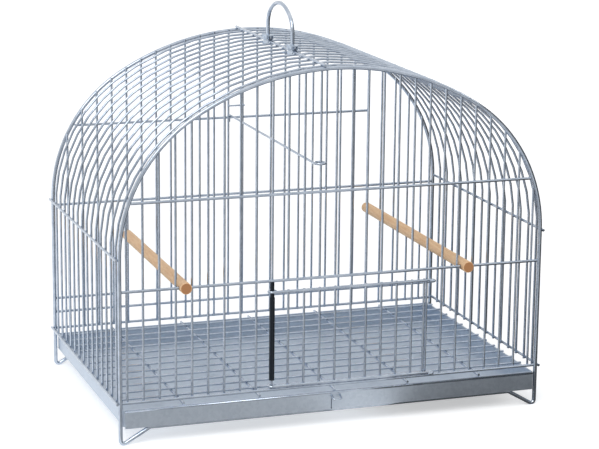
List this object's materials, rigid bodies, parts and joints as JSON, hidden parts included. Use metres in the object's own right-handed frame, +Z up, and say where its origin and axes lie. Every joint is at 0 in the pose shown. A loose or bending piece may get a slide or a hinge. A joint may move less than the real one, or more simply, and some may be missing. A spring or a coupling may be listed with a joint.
{
  "type": "bird cage",
  "caption": "Barrel-roofed wire bird cage with side-hung front door, slide-out tray, slide-out floor grille, lift-off wooden perches and a top carrying handle.",
  "frame": {"origin": "under the middle of the whole cage's box, on the surface the feet stand on", "axes": "+X to the right seen from the front (width), -Y towards the front (door and tray pull), +Z up"},
  "size_m": [0.4122, 0.2728, 0.3754],
  "materials": {
    "galvanised_wire": "zinc-plated drawn steel wire, bluish silver, satin to bright",
    "galvanised_sheet": "hot-dip galvanised sheet, matte bluish grey",
    "polished_tube": "polished dark steel tube",
    "beech": "turned beech dowel, smooth and unvarnished"
  },
  "bodies": {
    "cage": {"front_arch_frame": "galvanised_wire", "rear_arch_frame": "galvanised_wire", "roof_hoops": "galvanised_wire", "ridge_rod": "galvanised_wire", "left_spring_rod": "galvanised_wire", "right_spring_rod": "galvanised_wire", "left_base_rod": "galvanised_wire", "right_base_rod": "galvanised_wire", "front_bars_left": "galvanised_wire", "front_bars_right": "galvanised_wire", "front_bars_upper": "galvanised_wire", "rear_bars": "galvanised_wire", "front_base_rail": "galvanised_wire", "front_lintel_rail": "galvanised_wire", "front_upper_rail": "galvanised_wire", "rear_base_rail": "galvanised_wire", "rear_low_rail": "galvanised_wire", "rear_lower_rail": "galvanised_wire", "rear_middle_rail": "galvanised_wire", "rear_upper_rail": "galvanised_wire", "hanger_wire": "galvanised_wire", "hanger_keeper": "galvanised_wire", "handle_clip_front": "galvanised_sheet", "handle_clip_rear": "galvanised_sheet", "carry_handle": "galvanised_wire"},
    "door": {"door_base_rail": "galvanised_wire", "door_top_rail": "galvanised_wire", "door_bars": "galvanised_wire", "door_hinge_tube": "polished_tube"},
    "tray": {"tray": "galvanised_sheet", "tray_pull": "galvanised_wire"},
    "floor_grille": {"floor_cross_wires": "galvanised_wire", "floor_long_wires": "galvanised_wire"},
    "left_perch": {"left_perch": "beech"},
    "right_perch": {"right_perch": "beech"}
  },
  "joints": [
    {"name": "door_hinge", "type": "hinge", "parent": "cage", "child": "door", "pos_m": [-0.06, -0.12394, 0.085], "axis": [0, 0, -1], "range_deg": [0, 110]},
    {"name": "tray_slide", "type": "slide", "parent": "cage", "child": "tray", "axis": [0, -1, 0], "range_m": [0, 0.25]},
    {"name": "floor_grille_slide", "type": "slide", "parent": "cage", "child": "floor_grille", "axis": [0, -1, 0], "range_m": [0, 0.25]},
    {"name": "left_perch_lift", "type": "slide", "parent": "cage", "child": "left_perch", "axis": [0, 0, 1], "range_m": [0, 0.008]},
    {"name": "right_perch_lift", "type": "slide", "parent": "cage", "child": "right_perch", "axis": [0, 0, 1], "range_m": [0, 0.008]}
  ]
}
